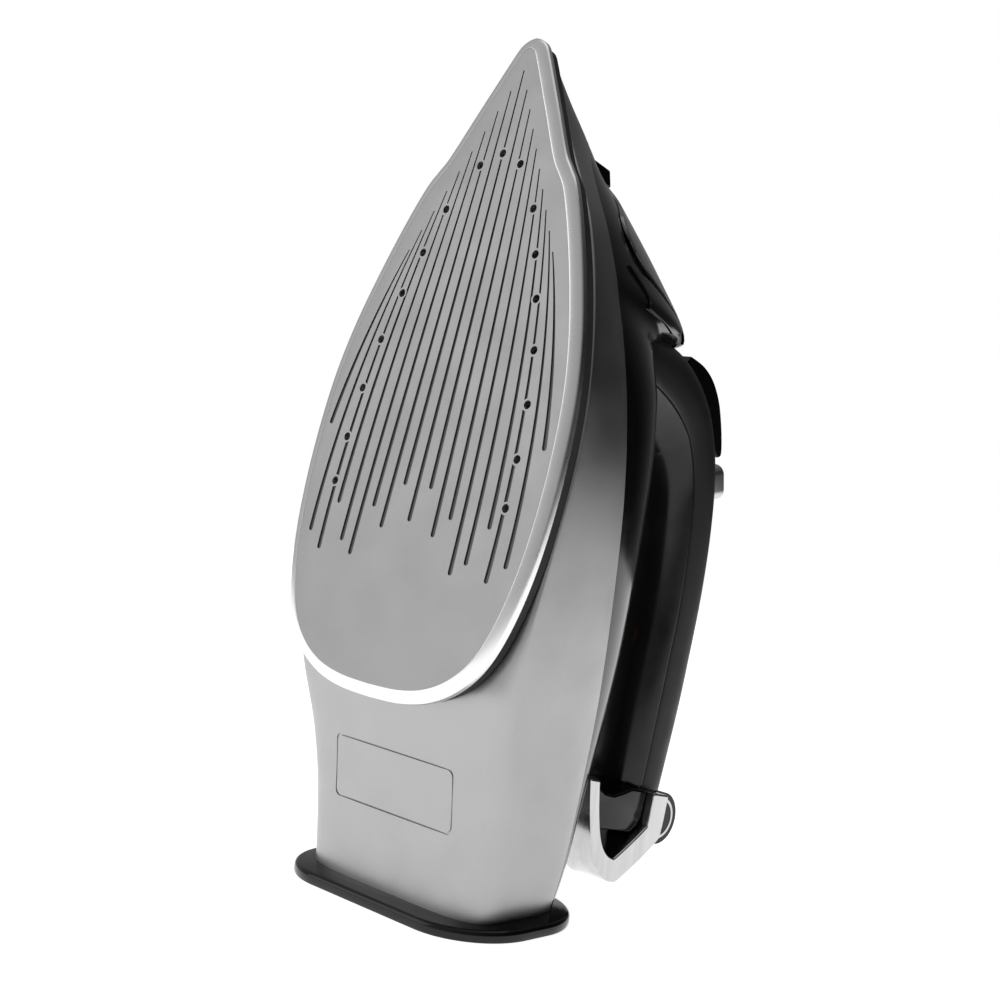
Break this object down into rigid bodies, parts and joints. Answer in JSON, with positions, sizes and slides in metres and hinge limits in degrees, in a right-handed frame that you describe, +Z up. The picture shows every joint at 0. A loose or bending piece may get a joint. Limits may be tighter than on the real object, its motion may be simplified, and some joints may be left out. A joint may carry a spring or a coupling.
{
  "type": "steam iron",
  "caption": "Household steam iron standing on its heel plate: pointed grooved soleplate with steam holes, closed loop handle, thumb buttons, temperature dial and cord gland.",
  "frame": {"origin": "centre of the heel plate's underside, where the iron stands", "axes": "+Z up to the soleplate's tip, +Y from the soleplate to the handle, +X across the iron, to the side shown nearest in the picture"},
  "size_m": [0.1172, 0.1733, 0.2949],
  "materials": {
    "sole_coating": "satin coated aluminium plate with a brighter machined bevel",
    "black_rubber": "matt heat-resistant seal",
    "silver_plastic": "silver metallic paint, satin",
    "black_gloss_plastic": "gloss black",
    "dark_chrome_trim": "dark chromed plastic, mirror gloss",
    "black_matte_plastic": "fine matt black",
    "grey_gloss_plastic": "dark grey, gloss",
    "polished_metal": "chromed, lightly brushed",
    "steel": "plain",
    "ivory_plastic": "unfinished moulding",
    "brass": "plain",
    "clear_plastic": "translucent moulding",
    "cast_aluminium": "as cast",
    "red_rubber": "silicone",
    "pale_rubber": "silicone",
    "amber_lens": "translucent lens"
  },
  "bodies": {
    "iron": {"soleplate": "sole_coating", "heat_gasket": "black_rubber", "lower_housing": "silver_plastic", "upper_housing": "black_gloss_plastic", "nose_hood": "dark_chrome_trim", "nose_inlays": "black_gloss_plastic", "spray_nozzle": "black_matte_plastic", "handle_shell": "black_matte_plastic", "handle_grip": "grey_gloss_plastic", "rear_bridge": "black_gloss_plastic", "heel_leg_right": "polished_metal", "heel_leg_left": "polished_metal", "heel_plate": "black_gloss_plastic", "dial_ring": "black_gloss_plastic", "steam_pump_body": "ivory_plastic", "spray_pump_body": "ivory_plastic", "steam_pump_spring": "steel", "spray_pump_spring": "steel", "slider_guide": "black_matte_plastic", "valve_body": "ivory_plastic", "scale_cartridge": "ivory_plastic", "gland_bracket": "black_matte_plastic", "water_tank": "clear_plastic", "heater_block": "cast_aluminium", "heating_element": "steel", "chamber_seal": "red_rubber", "chamber_cover": "cast_aluminium", "thermostat": "ivory_plastic", "thermal_fuse": "brass", "terminal_block": "ivory_plastic", "pilot_lamp": "amber_lens", "water_hoses": "pale_rubber", "wiring": "red_rubber", "cover_screws": "steel", "heel_screws": "steel", "handle_screws": "steel"},
    "dial": {"temperature_dial": "black_gloss_plastic", "thermostat_shaft": "steel"},
    "steam_button": {"steam_button": "black_gloss_plastic", "steam_piston": "ivory_plastic"},
    "spray_button": {"spray_button": "black_gloss_plastic", "spray_piston": "ivory_plastic"},
    "slider": {"steam_slider": "silver_plastic"},
    "valve": {"valve_needle": "brass"},
    "lid": {"fill_lid": "dark_chrome_trim", "fill_lid_pin": "dark_chrome_trim"},
    "gland": {"cord_gland": "black_gloss_plastic", "gland_rings": "polished_metal", "gland_pin": "steel"}
  },
  "joints": [
    {"name": "dial_turn", "type": "hinge", "parent": "iron", "child": "dial", "pos_m": [0, 0.06521, 0.14206], "axis": [0, 0.982, -0.1891], "range_deg": [0, 270]},
    {"name": "steam_button_press", "type": "slide", "parent": "iron", "child": "steam_button", "axis": [0, -0.982, 0.1891], "range_m": [0, 0.003], "stiffness_N_per_m": 800, "springref_m": -0.004, "deforming": ["steam_pump_spring"]},
    {"name": "spray_button_press", "type": "slide", "parent": "iron", "child": "spray_button", "axis": [0, -0.982, 0.1891], "range_m": [0, 0.003], "stiffness_N_per_m": 800, "springref_m": -0.004, "deforming": ["spray_pump_spring"]},
    {"name": "slider_move", "type": "slide", "parent": "iron", "child": "slider", "axis": [0, 0.1925, -0.9813], "range_m": [0, 0.008]},
    {"name": "valve_lift", "type": "slide", "parent": "iron", "child": "valve", "axis": [0, 0.982, -0.1891], "range_m": [0, 0.004]},
    {"name": "lid_open", "type": "hinge", "parent": "iron", "child": "lid", "pos_m": [0, 0.06018, 0.23638], "axis": [1, 0, 0], "range_deg": [0, 80]},
    {"name": "gland_swing", "type": "hinge", "parent": "iron", "child": "gland", "pos_m": [0, 0.11305, 0.01818], "axis": [1, 0, 0], "range_deg": [-40, 40]}
  ],
  "couplings": [
    {"joint": "valve_lift", "follows": "slider_move", "ratio": 0.5}
  ]
}
